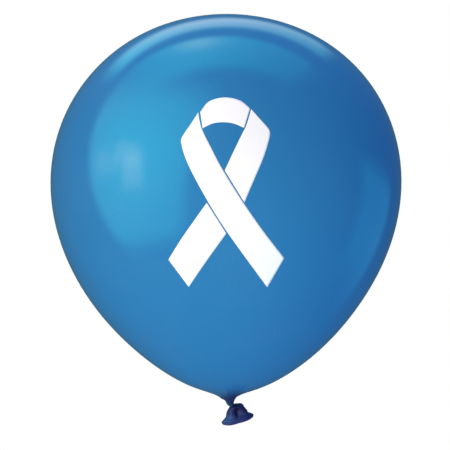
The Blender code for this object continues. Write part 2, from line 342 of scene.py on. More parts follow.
def along_line(points, share):
    """A point at a share of the length of a smooth line through all the points."""
    line = [Vector(point) for point in points]
    spans = [(b - a).length for a, b in zip(line, line[1:])]
    left = share * sum(spans)
    i = 0
    while i < len(spans) - 1 and left > spans[i]:
        left -= spans[i]
        i += 1
    t = min(left / spans[i], 1.0)
    start, end = line[i], line[i + 1]
    before = line[i - 1] if i > 0 else start + start - end
    after = line[i + 2] if i + 2 < len(line) else end + end - start
    leave = (end - before) * spans[i] / ((end - start).length + (start - before).length)
    arrive = (after - start) * spans[i] / ((after - end).length + (end - start).length)
    return (
        start * (2 * t ** 3 - 3 * t * t + 1)
        + leave * (t ** 3 - 2 * t * t + t)
        + end * (3 * t * t - 2 * t ** 3)
        + arrive * (t ** 3 - t * t)
    )


def turn_from(around, place):
    """The angle from a place round the axis, between minus and plus half a turn."""
    return (around - place + math.pi) % FULL_TURN - math.pi


def bump_of(away, width):
    """A smooth bump: 1 in its middle, and gone some widths away from it."""
    return math.exp(-((away / width) ** 2))


def taut_and_crease_shade(shape):
    """The two layers that the latex reads: how taut it is, and how much painted shade it gets in its
    creases.
    """
    return shape.verts.layers.float.new("stretch"), shape.verts.layers.float.new("crease_shade")


def piece_from(name, shape, material, replaced):
    """Turn a bmesh into a finished piece that rides on the balloon's one body."""
    mesh = bpy.data.meshes.new(name)
    shape.to_mesh(mesh)
    shape.free()
    mesh.materials.append(material)
    mesh.shade_smooth()
    piece = bpy.data.objects.new(name, mesh)
    bpy.context.scene.collection.objects.link(piece)
    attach(piece, "root")
    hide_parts(*replaced)
    return piece


def thicken(piece, thickness, outward=False):
    """Give an open surface its wall, inwards unless it is told to grow outwards."""
    wall = piece.modifiers.new("wall", "SOLIDIFY")
    wall.thickness = thickness
    wall.offset = 1.0 if outward else -1.0
    wall.use_even_offset = True


def spun(shape, outline, steps):
    """The outline in a bmesh turned once about Z, and closed."""
    bmesh.ops.spin(
        shape, geom=outline, cent=(0, 0, 0), axis=(0, 0, 1), angle=FULL_TURN, steps=steps, use_merge=True
    )
    bmesh.ops.remove_doubles(shape, verts=shape.verts, dist=MERGE_DISTANCE)
    bmesh.ops.recalc_face_normals(shape, faces=shape.faces)
    return shape


def spun_profile(points, steps):
    """A bmesh turned about Z from a line of radius and height."""
    shape = bmesh.new()
    line = [shape.verts.new((radius, 0.0, height)) for radius, height in points]
    edges = [shape.edges.new(pair) for pair in zip(line, line[1:])]
    return spun(shape, line + edges, steps)


def ring_of(ring_radius, tube_radius, steps, sides):
    """A bmesh ring about Z: a circle spun round the axis."""
    shape = bmesh.new()
    upright = Matrix.Translation((ring_radius, 0, 0)) @ Matrix.Rotation(math.pi / 2, 4, "X")
    made = bmesh.ops.create_circle(shape, segments=sides, radius=tube_radius, matrix=upright)
    return spun(shape, made["verts"] + shape.edges[:], steps)


# Skin


def fold_out(around, height):
    """How far two folds of the funnel stand out, to the right and to the left."""
    rise = smooth_step(height, FOLD_FOOT, FOLD_CREST)
    fall = smooth_step(height, FOLD_CREST, FOLD_TOP)
    side = math.cos(around)
    return rise * (1.0 - fall) * side * side * (FOLD_RIGHT if side > 0 else FOLD_LEFT)


def gather(around, height):
    """How far the funnel's and neck's surface swells, as pleats that gather into the tie."""
    near = 1.0 - smooth_step(height, *SHARP_GATHERS_FADE)
    far = 1.0 - smooth_step(height, *FAINT_GATHERS_FADE)
    twisted = around + GATHER_TWIST * (height / MM)
    swell = 1.0
    for count, depth, offset in SHARP_GATHERS:
        swell += near * depth * math.cos(count * twisted + offset)
    for count, depth, offset in FAINT_GATHERS:
        swell += far * depth * math.cos(count * around + offset)
    return swell


def skin_taut(around, from_axis, height):
    """How taut the skin is: 0 in the slack neck and about 1 on the round body."""
    slack_top = SLACK_TOP + SLACK_TOP_SWING * math.cos(around)
    on_body = NEARLY_TAUT + (1.0 - NEARLY_TAUT) * smooth_step(height, 0.0, FULLY_TAUT_Z)
    streak = max(math.cos(STREAKS * around + STREAK_OFFSET), 0.0)
    streak *= 1.0 - smooth_step(height, *STREAK_FADE)
    taut = smooth_step(height, SLACK_FOOT, slack_top) * on_body * (1.0 - STREAK_DEPTH * streak)
    if height > CROWN_Z / 2:
        taut -= TIP_SLACK * (1.0 - smooth_step(from_axis, *TIP_RADII))
    return taut


def skin_crease_shade(swell, height):
    """Painted shade: how dark the skin is painted in the creases between its gathers, from how much it
    swells there, and all round at the tie.
    """
    between = min(max((1.0 - swell) * FOLD_SHADE, 0.0), 1.0)
    between *= 1.0 - smooth_step(height, 0.0, FOLD_SHADE_TOP)
    return max(between, TIE_SHADE * (1.0 - smooth_step(height, *TIE_SHADE_FADE)))


def make_skin(material):
    """The stretched body, its gathered throat and the neck down into the knot, in one surface."""
    last = body_angle(THROAT_TOP_Z)
    profile = [body_point(last * i / BODY_RINGS) for i in range(BODY_RINGS)]
    profile += [tuple(throat_point(i / THROAT_RINGS)) for i in range(THROAT_RINGS)]
    for i in range(NECK_RINGS + 1):
        share = i / NECK_RINGS
        slim = smooth_step(share, *NECK_SLIMS)
        radius = WAIST_RADIUS + (NECK_END_RADIUS - WAIST_RADIUS) * slim
        profile.append((radius, -NECK_SPUN_LENGTH * share))
    skin = spun_profile(profile, BODY_STEPS)
    stretch, crease_shade = taut_and_crease_shade(skin)
    for vertex in skin.verts:
        x, y, z = vertex.co
        around = math.atan2(y, x)
        from_axis = math.hypot(x, y)
        swell = gather(around, z)
        vertex[stretch] = skin_taut(around, from_axis, z)
        # painted shade in the creases and at the tie
        vertex[crease_shade] = skin_crease_shade(swell, z)
        if z >= 0.0:
            swell += fold_out(around, z) / max(from_axis, MM)
            place = Vector((x * swell + axis_x(z), y * swell, z))
        else:
            centre, turn = neck_place(-z / NECK_SPUN_LENGTH)
            place = centre + turn @ Vector((x * swell, y * swell, 0.0))
        vertex.co = pressed(place)
    piece = piece_from("balloon_skin", skin, material, ("envelope", "throat", "neck"))
    thicken(piece, SKIN_WALL)


# Knot and tail


def in_knot(x, y, z):
    """A point of the knot brought to its place: the knot leans a little and nods to the front."""
    lean = Euler((KNOT_NOD, -KNOT_TILT, 0.0)).to_matrix()
    return KNOT_CENTRE - Vector((0.0, 0.0, KNOT_DROP)) + lean @ Vector((x, y, z))


def pleat(around, strength):
    """How much of its radius the bell keeps at this angle from the front."""
    kept = 1.0
    for place, depth, width in PLEATS:
        kept -= strength * depth * bump_of(turn_from(around, math.radians(place)), math.radians(width))
    return kept


def pleat_strength(along):
    """The pleats grow out of the bell's round top and open again towards its mouth."""
    share = min(along / TAIL_LENGTH, 1.0)
    return smooth_step(share, *PLEATS_BEGIN) * (1.0 - PLEATS_OPEN * share)


def tail_point(radius, around, along, strength):
    """A point of the bell: radius, angle from the front and distance down from its top."""
    share = min(max(along / TAIL_LENGTH, 0.0), 1.0)
    past = along - TAIL_LENGTH * share
    tilt = BELL_TOP_TILT + (MOUTH_TILT - BELL_TOP_TILT) * share
    turn = Euler((MOUTH_NOD * share, -tilt, 0.0)).to_matrix()
    centre = BELL_TOP + Vector((BELL_LEAN * share, 0.0, -TAIL_LENGTH * share))
    kept = radius * pleat(around, strength)
    flat = 1.0 + (TAIL_FLATNESS - 1.0) * smooth_step(share, 0.0, 1.0)
    return centre + turn @ Vector((kept * math.sin(around), -kept * flat * math.cos(around), -past))


def tail_profile():
    """Radius and distance down of the bell: a dome up into the knot, an upright side and a flared skirt."""
    points = [tuple(along_line(TAIL_SHOULDER, i / SHOULDER_RINGS) * MM) for i in range(SHOULDER_RINGS + 1)]
    start, drop = points[-1]
    skirt = TAIL_SKIRT_SHARE * TAIL_LENGTH
    for i in range(1, SIDE_RINGS + 1):
        share = i / SIDE_RINGS
        points.append((start + (TAIL_SKIRT_RADIUS - start) * share, drop + (skirt - drop) * share))
    for i in range(1, FLARE_RINGS + 1):
        share = i / FLARE_RINGS
        radius = TAIL_SKIRT_RADIUS + (TAIL_MOUTH_RADIUS - TAIL_SKIRT_RADIUS) * share * share
        points.append((radius, skirt + (TAIL_LENGTH - skirt) * share))
    points.append((TAIL_MOUTH_RADIUS + LIP_SPREAD / 2, TAIL_LENGTH + TAIL_INTO_LIP / 2))
    points.append((TAIL_MOUTH_RADIUS + LIP_SPREAD, TAIL_LENGTH + TAIL_INTO_LIP))
    return points


def tail_taut(around, along):
    """The bell is slack, a little less so towards its mouth, and tauter in one patch that is painted light
    on its left side.
    """
    least, growth = TAIL_TAUT
    # Painted light: a lighter patch on the left side of the bell, where the light falls
    patch = TAIL_PAINTED_LIGHT * bump_of(around - TAIL_PAINTED_LIGHT_AT, TAIL_PAINTED_LIGHT_WIDTH)
    patch *= smooth_step(along, 3.0 * MM, 6.0 * MM)
    return least + growth * smooth_step(along, 2.0 * MM, TAIL_LENGTH) + patch


def tail_crease_shade(around, along, strength):
    """Painted shade: dark in the pleats and up in the knot, and less so where the bell opens."""
    most, less = TAIL_PLEAT_SHADE
    depth = most - less * smooth_step(along, 0.7 * TAIL_LENGTH, TAIL_LENGTH)
    root = TAIL_ROOT_SHADE * (1.0 - smooth_step(along, -1.5 * MM, 2.0 * MM))
    return min(max((1.0 - pleat(around, strength)) * depth, 0.0) + root, 1.0)


def make_tail(material):
    """The pleated bell."""
    bell = spun_profile([(radius, -along) for radius, along in tail_profile()], TAIL_STEPS)
    stretch, crease_shade = taut_and_crease_shade(bell)
    amount, count, offset = TAIL_WANDER
    for vertex in bell.verts:
        x, y, z = vertex.co
        around = math.atan2(x, -y)
        strength = pleat_strength(-z)
        wander = amount * math.sin(count * around + offset) * smooth_step(-z, *TAIL_WANDER_BEGINS)
        vertex[stretch] = tail_taut(around, -z)
        vertex[crease_shade] = tail_crease_shade(around, -z, strength)
        vertex.co = tail_point(math.hypot(x, y) * (1.0 + wander), around, -z, strength)
    bmesh.ops.recalc_face_normals(bell, faces=bell.faces)
    piece = piece_from("tail_bell", bell, material, ("tail",))
    thicken(piece, TAIL_WALL)


def make_lip(material):
    """The rolled lip round the bell's mouth: several turns of film rolled on each other."""
    ring_radius = TAIL_MOUTH_RADIUS + LIP_SPREAD
    drop = TAIL_LENGTH + LIP_DROP
    strength = pleat_strength(TAIL_LENGTH)
    lip = ring_of(ring_radius, LIP_RADIUS, TAIL_STEPS, LIP_SIDES)
    stretch, crease_shade = taut_and_crease_shade(lip)
    for vertex in lip.verts:
        x, y, z = vertex.co
        around = math.atan2(x, -y)
        out = math.hypot(x, y) - ring_radius
        turn = math.atan2(z, out)
        roll = 1.0
        for depth, rolls, rounds in LIP_ROLLS:
            roll += depth * math.sin(rolls * turn + rounds * around)
        middle = tail_point(ring_radius, around, drop, strength)
        edge = tail_point(ring_radius + out, around, drop - z, strength)
        vertex[stretch] = LIP_TAUT
        # Painted shade along the seam of the roll
        vertex[crease_shade] = LIP_SEAM_SHADE * (1.0 - smooth_step(abs(turn - LIP_SEAM), 0.0, LIP_SEAM_WIDTH))
        vertex.co = middle + (edge - middle) * roll
    bmesh.ops.recalc_face_normals(lip, faces=lip.faces)
    piece_from("tail_lip", lip, material, ("tail_bead",))


def make_knot_wrap(material):
    """One turn of the neck round itself, pinched where its end comes through at the front."""
    wrap = ring_of(KNOT_RING_RADIUS, STRAND_RADIUS, WRAP_STEPS, WRAP_SIDES)
    stretch, crease_shade = taut_and_crease_shade(wrap)
    for vertex in wrap.verts:
        x, y, z = vertex.co
        around = math.atan2(x, -y)
        out = math.hypot(x, y) - KNOT_RING_RADIUS
        turn = math.atan2(z, out)
        ridges = 0.0
        for depth, strands, turns, offset in WRAP_RIDGES:
            ridges += depth * math.cos(strands * turn + turns * around + offset)
        pinch = bump_of(turn_from(around, WRAP_FRONT), WRAP_PINCH_WIDTH)
        behind = bump_of(turn_from(around, WRAP_BACK), WRAP_PINCH_WIDTH)
        size = 1.0 + ridges - WRAP_PINCH * pinch - WRAP_BACK_PINCH * behind
        reach = KNOT_RING_RADIUS + out * size - WRAP_PINCH_DEPTH * pinch
        vertex[stretch] = WRAP_TAUT
        # Painted shade at the front and back pinches and in the troughs between the ridges
        shade = WRAP_FRONT_SHADE * pinch + WRAP_BACK_SHADE * behind
        vertex[crease_shade] = min(shade + max(-ridges, 0.0) * RIDGE_SHADE, 1.0)
        vertex.co = in_knot(reach * math.sin(around), -reach * math.cos(around), z * size)
    bmesh.ops.recalc_face_normals(wrap, faces=wrap.faces)
    piece_from("knot_wrap", wrap, material, ("knot_loop",))


def make_knot_strand(material):
    """The short strand inside the turn, wrinkled along its length."""
    profile = [(0.0, -CORE_TOP)]
    for i in range(CORE_RINGS + 1):
        share = i / CORE_RINGS
        size = CORE_TIP_SIZE + (1.0 - CORE_TIP_SIZE) * smooth_step(share, 0.0, CORE_TIP_SHARE)
        profile.append((CORE_RADIUS * size, -CORE_TOP - (CORE_FOOT - CORE_TOP) * share))
    profile.append((0.0, -CORE_FOOT))
    strand = spun_profile(profile, CORE_STEPS)
    stretch, crease_shade = taut_and_crease_shade(strand)
    depth, count, twist = CORE_WRINKLES
    for vertex in strand.verts:
        x, y, z = vertex.co
        swell = 1.0 + depth * math.cos(count * math.atan2(y, x) + twist * z / MM)
        vertex[stretch] = CORE_TAUT
        # Painted shade all over the short strand inside the turn
        vertex[crease_shade] = CORE_SHADE
        vertex.co = in_knot(x * swell, y * swell, z)
    piece_from("knot_strand", strand, material, ("knot_core",))


# Print


def on_front(x, z, clearance):
    """The point in front of the body at this place in the front elevation."""
    angle = body_angle(z)
    radius = body_point(angle)[0]
    slope = body_slope(angle)
    sideways = x - axis_x(z)
    depth = -math.sqrt(radius * radius - sideways * sideways)
    outward = Vector((sideways / radius * -slope.y, depth / radius * -slope.y, slope.x))
    return Vector((x, depth, z)) + outward * clearance


def make_ink(name, node, left, right, cells_along, cells_across, material):
    """A film of ink on the body between two lines of the front elevation."""
    sheet = bmesh.new()
    bmesh.ops.create_grid(sheet, x_segments=cells_across, y_segments=cells_along, size=0.5, calc_uvs=True)
    print_map = sheet.loops.layers.uv.verify()
    for face in sheet.faces:
        for loop in face.loops:
            loop[print_map].uv = (loop.vert.co.x + 0.5, loop.vert.co.y + 0.5)
    for vertex in sheet.verts:
        across = vertex.co.x + 0.5
        down = 0.5 - vertex.co.y
        place = along_line(left, down).lerp(along_line(right, down), across) * MM
        vertex.co = on_front(place.x, place.y, INK_LIFT)
    bmesh.ops.recalc_face_normals(sheet, faces=sheet.faces)
    sheet.normal_update()
    if sum(face.normal.y for face in sheet.faces) > 0:
        bmesh.ops.reverse_faces(sheet, faces=sheet.faces)
    piece = piece_from(name, sheet, material, (node,))
    thicken(piece, INK_DEPTH, outward=True)


# Shader groups and finishes


def new_group(name, inputs, outputs):
    """A shader node group with named sockets. Each input is a name, a socket type and a value."""
    group = bpy.data.node_groups.new(name, "ShaderNodeTree")
    for label, kind, value in inputs:
        socket = group.interface.new_socket(name=label, in_out="INPUT", socket_type=kind)
        if value is not None:
            socket.default_value = value
    for label, kind in outputs:
        group.interface.new_socket(name=label, in_out="OUTPUT", socket_type=kind)
    return group, group.nodes.new("NodeGroupInput"), group.nodes.new("NodeGroupOutput")


def math_node(tree, operation, first, second=None, clamp=False):
    """One Math node. Each operand is a number or the socket that feeds it."""
    node = tree.nodes.new("ShaderNodeMath")
    node.operation = operation
    node.use_clamp = clamp
    for socket, operand in zip(node.inputs, (first, second)):
        if isinstance(operand, bpy.types.NodeSocket):
            tree.links.new(operand, socket)
        elif operand is not None:
            socket.default_value = operand
    return node.outputs[0]


def noise_node(tree, vector, scale, detail, roughness=0.5):
    """Noise from 0 to 1 at each point of a vector."""
    node = tree.nodes.new("ShaderNodeTexNoise")
    for label, operand in (("Scale", scale), ("Detail", detail), ("Roughness", roughness)):
        if isinstance(operand, bpy.types.NodeSocket):
            tree.links.new(operand, node.inputs[label])
        else:
            node.inputs[label].default_value = operand
    tree.links.new(vector, node.inputs["Vector"])
    return node.outputs["Fac"]


def ramp_between(tree, value, low, high):
    """Value brought from low..high to 0..1 with smooth ends."""
    node = tree.nodes.new("ShaderNodeMapRange")
    node.interpolation_type = "SMOOTHSTEP"
    for socket, operand in zip(node.inputs, (value, low, high)):
        if isinstance(operand, bpy.types.NodeSocket):
            tree.links.new(operand, socket)
        else:
            socket.default_value = operand
    return node.outputs[0]


def mix_colours(tree, share, first, second, blend="MIX"):
    """Two colours mixed by a share. Each operand is a value or the socket that feeds it."""
    node = tree.nodes.new("ShaderNodeMix")
    node.data_type = "RGBA"
    node.blend_type = blend
    for label, operand in (("Factor_Float", share), ("A_Color", first), ("B_Color", second)):
        socket = next(s for s in node.inputs if s.identifier == label)
        if isinstance(operand, bpy.types.NodeSocket):
            tree.links.new(operand, socket)
        elif isinstance(operand, tuple):
            socket.default_value = (*operand, 1.0)
        else:
            socket.default_value = operand
    return next(s for s in node.outputs if s.identifier == "Result_Color")


def film_thickness_group():
    """Slow changes in how thick the film is, with fine specks: a factor about 1 for its colour."""
    group, given, result = new_group(
        "film_thickness",
        [
            ("Vector", "NodeSocketVector", None),
            ("Cloud Scale", "NodeSocketFloat", 12.0),
            ("Cloud Depth", "NodeSocketFloat", 0.06),
            ("Speck Scale", "NodeSocketFloat", 900.0),
            ("Speck Depth", "NodeSocketFloat", 0.04),
        ],
        [("Shade", "NodeSocketFloat")],
    )
    cloud = noise_node(group, given.outputs["Vector"], given.outputs["Cloud Scale"], 3.0, 0.45)
    speck = noise_node(group, given.outputs["Vector"], given.outputs["Speck Scale"], 1.0)
    parts = []
    for noise, depth in ((cloud, "Cloud Depth"), (speck, "Speck Depth")):
        centred = math_node(group, "SUBTRACT", noise, 0.5)
        parts.append(math_node(group, "MULTIPLY", centred, given.outputs[depth]))
    both = math_node(group, "ADD", *parts)
    total = math_node(group, "ADD", math_node(group, "MULTIPLY", both, 2.0), 1.0)
    group.links.new(total, result.inputs["Shade"])
    return group


def powder_bloom_group():
    """Dusting powder and fingermarks left on latex: a mask, patchy and grained."""
    group, given, result = new_group(
        "powder_bloom",
        [
            ("Vector", "NodeSocketVector", None),
            ("Patch Scale", "NodeSocketFloat", 25.0),
            ("Grain Scale", "NodeSocketFloat", 1500.0),
            ("Amount", "NodeSocketFloat", 0.3),
        ],
        [("Mask", "NodeSocketFloat")],
    )
    patch = noise_node(group, given.outputs["Vector"], given.outputs["Patch Scale"], 4.0, 0.6)
    grain = noise_node(group, given.outputs["Vector"], given.outputs["Grain Scale"], 2.0, 0.6)
    patchy = ramp_between(group, patch, 0.42, 0.72)
    grained = ramp_between(group, grain, 0.40, 0.66)
    dusty = math_node(group, "MULTIPLY", patchy, grained)
    mask = math_node(group, "MULTIPLY", dusty, given.outputs["Amount"], clamp=True)
    group.links.new(mask, result.inputs["Mask"])
    return group


def film_relief_group():
    """The height of a film's surface: soft waves, fine grain and, where it is asked for, wrinkles."""
    group, given, result = new_group(
        "film_relief",
        [
            ("Vector", "NodeSocketVector", None),
            ("Wave Scale", "NodeSocketFloat", 30.0),
            ("Wave Height", "NodeSocketFloat", 0.5),
            ("Grain Scale", "NodeSocketFloat", 2200.0),
            ("Grain Height", "NodeSocketFloat", 0.1),
            ("Wrinkle Scale", "NodeSocketFloat", 600.0),
            ("Wrinkle Height", "NodeSocketFloat", 0.0),
        ],
        [("Height", "NodeSocketFloat")],
    )
    total = None
    for label, detail in (("Wave", 1.0), ("Grain", 2.0), ("Wrinkle", 3.0)):
        noise = noise_node(group, given.outputs["Vector"], given.outputs[label + " Scale"], detail)
        part = math_node(group, "MULTIPLY", noise, given.outputs[label + " Height"])
        total = part if total is None else math_node(group, "ADD", total, part)
    group.links.new(total, result.inputs["Height"])
    return group


FILM_THICKNESS = film_thickness_group()
POWDER_BLOOM = powder_bloom_group()
FILM_RELIEF = film_relief_group()


def place_group(tree, group, vector, values):
    """One of the shared groups in a material, with that material's own values."""
    node = tree.nodes.new("ShaderNodeGroup")
    node.node_tree = group
    tree.links.new(vector, node.inputs["Vector"])
    for label, value in values.items():
        node.inputs[label].default_value = value
    return node.outputs[0]


def new_material(name):
    """A material with its node tree, its Principled shader and a Texture Coordinate node."""
    material = bpy.data.materials.new(name)
    material.use_nodes = True
    tree = material.node_tree
    shader = tree.nodes["Principled BSDF"]
    coordinates = tree.nodes.new("ShaderNodeTexCoord")
    return material, tree, shader, coordinates


def set_sockets(shader, values):
    for label, value in values.items():
        shader.inputs[label].default_value = value


def tint_by(tree, colour, shade):
    """A colour made lighter or darker by a factor that changes over the surface."""
    tone = tree.nodes.new("ShaderNodeCombineColor")
    for socket in tone.inputs:
        tree.links.new(shade, socket)
    return mix_colours(tree, 1.0, colour, tone.outputs[0], blend="MULTIPLY")


def relief_into(tree, shader, height, strength, distance):
    """Feed a height into the shader's normal."""
    bump = tree.nodes.new("ShaderNodeBump")
    bump.inputs["Strength"].default_value = strength
    bump.inputs["Distance"].default_value = distance
    tree.links.new(height, bump.inputs["Height"])
    tree.links.new(bump.outputs["Normal"], shader.inputs["Normal"])


def attribute_value(tree, name):
    node = tree.nodes.new("ShaderNodeAttribute")
    node.attribute_type = "GEOMETRY"
    node.attribute_name = name
    return node.outputs["Fac"]


def latex_material(name, film, bloom, relief, rough_taut, rough_slack, relief_strength, sockets):
    """Latex: blue where it is pulled thin and navy where it is slack, with painted shade darker down in its
    creases.
    """
    material, tree, shader, coordinates = new_material(name)
    here = coordinates.outputs["Object"]
    stretch = attribute_value(tree, "stretch")
    crease_shade = attribute_value(tree, "crease_shade")
    colour = mix_colours(tree, stretch, SLACK_NAVY, TAUT_BLUE)
    # Painted shade: creases mixed towards dark navy
    colour = mix_colours(tree, crease_shade, colour, PAINTED_SHADE_NAVY)
    colour = tint_by(tree, colour, place_group(tree, FILM_THICKNESS, here, film))
    powder = place_group(tree, POWDER_BLOOM, here, bloom)
    colour = mix_colours(tree, powder, colour, BLOOM_WHITE)
    tree.links.new(colour, shader.inputs["Base Color"])
    slack = math_node(tree, "SUBTRACT", 1.0, stretch, clamp=True)
    rough = math_node(tree, "MULTIPLY", slack, rough_slack - rough_taut)
    rough = math_node(tree, "ADD", rough, rough_taut)
    rough = math_node(tree, "ADD", rough, math_node(tree, "MULTIPLY", powder, 0.5))
    tree.links.new(rough, shader.inputs["Roughness"])
    relief_into(tree, shader, place_group(tree, FILM_RELIEF, here, relief), relief_strength, 1.0 * MM)
    set_sockets(shader, sockets)
    return material


def ink_material():
    """Screen-printed white: a faint mesh, pinholes, and thinner ink at the very edge of the print."""
    material, tree, shader, coordinates = new_material("white_ink_film")
    here = coordinates.outputs["Object"]
    split = tree.nodes.new("ShaderNodeSeparateXYZ")
    tree.links.new(coordinates.outputs["UV"], split.inputs[0])
    to_middle = math_node(tree, "ABSOLUTE", math_node(tree, "SUBTRACT", split.outputs["X"], 0.5))
    rim = ramp_between(tree, to_middle, 0.482, 0.5)
    pinholes = ramp_between(tree, noise_node(tree, here, 1100.0, 2.0, 0.6), 0.70, 0.78)
    thin_rim = math_node(tree, "MULTIPLY", rim, 0.30)
    thin_spots = math_node(tree, "MULTIPLY", pinholes, 0.35)
    thickness = {"Cloud Scale": 40.0, "Cloud Depth": 0.02, "Speck Scale": 1400.0, "Speck Depth": 0.02}
    colour = tint_by(tree, INK_WHITE, place_group(tree, FILM_THICKNESS, here, thickness))
    colour = mix_colours(tree, math_node(tree, "MAXIMUM", thin_rim, thin_spots), colour, THIN_INK)
    tree.links.new(colour, shader.inputs["Base Color"])
    mesh_marks = math_node(tree, "MULTIPLY", noise_node(tree, here, 700.0, 2.0), 0.16)
    tree.links.new(math_node(tree, "ADD", mesh_marks, 0.36), shader.inputs["Roughness"])
    relief = {"Wave Scale": 60.0, "Wave Height": 0.2, "Grain Scale": 1900.0, "Grain Height": 0.5}
    height = place_group(tree, FILM_RELIEF, here, relief)
    relief_into(tree, shader, height, 0.12, 0.3 * MM)
    set_sockets(shader, {"IOR": 1.45, "Specular IOR Level": 0.6})
    return material


def floor_material():
    """Pale paper that fades out into the white round it, and is not there from below."""
    material, tree, shader, coordinates = new_material("pale_floor")
    length = tree.nodes.new("ShaderNodeVectorMath")
    length.operation = "LENGTH"
    tree.links.new(coordinates.outputs["Object"], length.inputs[0])
    inner = math_node(tree, "SUBTRACT", 1.0, ramp_between(tree, length.outputs["Value"], *FLOOR_FADE))
    facing = tree.nodes.new("ShaderNodeNewGeometry")
    above = math_node(tree, "SUBTRACT", 1.0, facing.outputs["Backfacing"])
    tree.links.new(math_node(tree, "MULTIPLY", inner, above), shader.inputs["Alpha"])
    set_sockets(shader, {"Base Color": (*FLOOR_WHITE, 1.0), "Roughness": 0.9, "Specular IOR Level": 0.1})
    return material


# Studio


def make_camera():
    data = bpy.data.cameras.new("camera")
    data.lens = CAMERA_LENS
    data.sensor_width = CAMERA_SENSOR
    data.clip_start, data.clip_end = CAMERA_CLIP
    camera = bpy.data.objects.new("camera", data)
    camera.location = CAMERA_PLACE
    camera.rotation_euler = (math.pi / 2, 0.0, 0.0)
    bpy.context.scene.collection.objects.link(camera)
    bpy.context.scene.camera = camera


def towards(azimuth, elevation):
    """Unit vector at an azimuth, counted from the camera to its left, and an elevation, in degrees."""
    a, e = math.radians(azimuth), math.radians(elevation)
    return Vector((-math.sin(a) * math.cos(e), -math.cos(a) * math.cos(e), math.sin(e)))


# Lamps that light matt surfaces alone: azimuth and elevation in degrees, distance, width, height
# and radiance
LAMPS = {
    "key_softbox": (50, 5, 1.7, 1.5, 1.5, 1.1),
    "front_softbox": (8, -25, 1.7, 1.5, 1.5, 2.8),
    "overhead_softbox": (150, 75, 1.5, 1.4, 1.0, 3.6),
}
LAMP_AIM = Vector((-3.3, 0.0, 175.0)) * MM


def make_lamp(name, azimuth, elevation, distance, width, height, radiance):
    """A rectangular lamp that faces the body."""
    data = bpy.data.lights.new(name, "AREA")
    data.shape = "RECTANGLE"
    data.size = width
    data.size_y = height
    data.energy = radiance * math.pi * width * height
    lamp = bpy.data.objects.new(name, data)
    away = towards(azimuth, elevation)
    lamp.location = LAMP_AIM + away * distance
    lamp.rotation_euler = away.to_track_quat("Z", "Y").to_euler()
    lamp.visible_camera = False
    lamp.visible_glossy = False
    bpy.context.scene.collection.objects.link(lamp)


def dot_node(tree, first, second):
    """Dot product of two vectors. Each is a tuple or the socket that feeds it."""
    node = tree.nodes.new("ShaderNodeVectorMath")
    node.operation = "DOT_PRODUCT"
    for socket, operand in zip(node.inputs, (first, second)):
        if isinstance(operand, bpy.types.NodeSocket):
            tree.links.new(operand, socket)
        else:
            socket.default_value = operand
    return node.outputs["Value"]


EDGES = ("First", "Second", "Third", "Fourth")


def softbox_group():
    """A four-sided softbox as it is seen from the balloon, with a hot spot: masks for both.

    Each edge is a vector that points across it into the softbox, and has a softness of its own.
    """
    sockets = [("Direction", "NodeSocketVector", None)]
    for edge in EDGES:
        sockets.append((edge + " Edge", "NodeSocketVector", None))
        sockets.append((edge + " Softness", "NodeSocketFloat", 0.1))
    sockets += [("Hot Spot", "NodeSocketVector", None), ("Hot Spot Size", "NodeSocketFloat", 0.3)]
    group, given, result = new_group(
        "softbox", sockets, [("Mask", "NodeSocketFloat"), ("Hot Mask", "NodeSocketFloat")]
    )
    mask = None
    for edge in EDGES:
        inside = dot_node(group, given.outputs["Direction"], given.outputs[edge + " Edge"])
        soft = given.outputs[edge + " Softness"]
        step = ramp_between(group, inside, math_node(group, "MULTIPLY", soft, -1.0), soft)
        mask = step if mask is None else math_node(group, "MULTIPLY", mask, step)
    away = math_node(
        group, "SUBTRACT", 1.0, dot_node(group, given.outputs["Direction"], given.outputs["Hot Spot"])
    )
    size = given.outputs["Hot Spot Size"]
    fall = math_node(group, "DIVIDE", away, math_node(group, "MULTIPLY", size, size))
    hot = math_node(group, "EXPONENT", math_node(group, "MULTIPLY", fall, -1.0))
    group.links.new(mask, result.inputs["Mask"])
    group.links.new(math_node(group, "MULTIPLY", mask, hot), result.inputs["Hot Mask"])
    return group


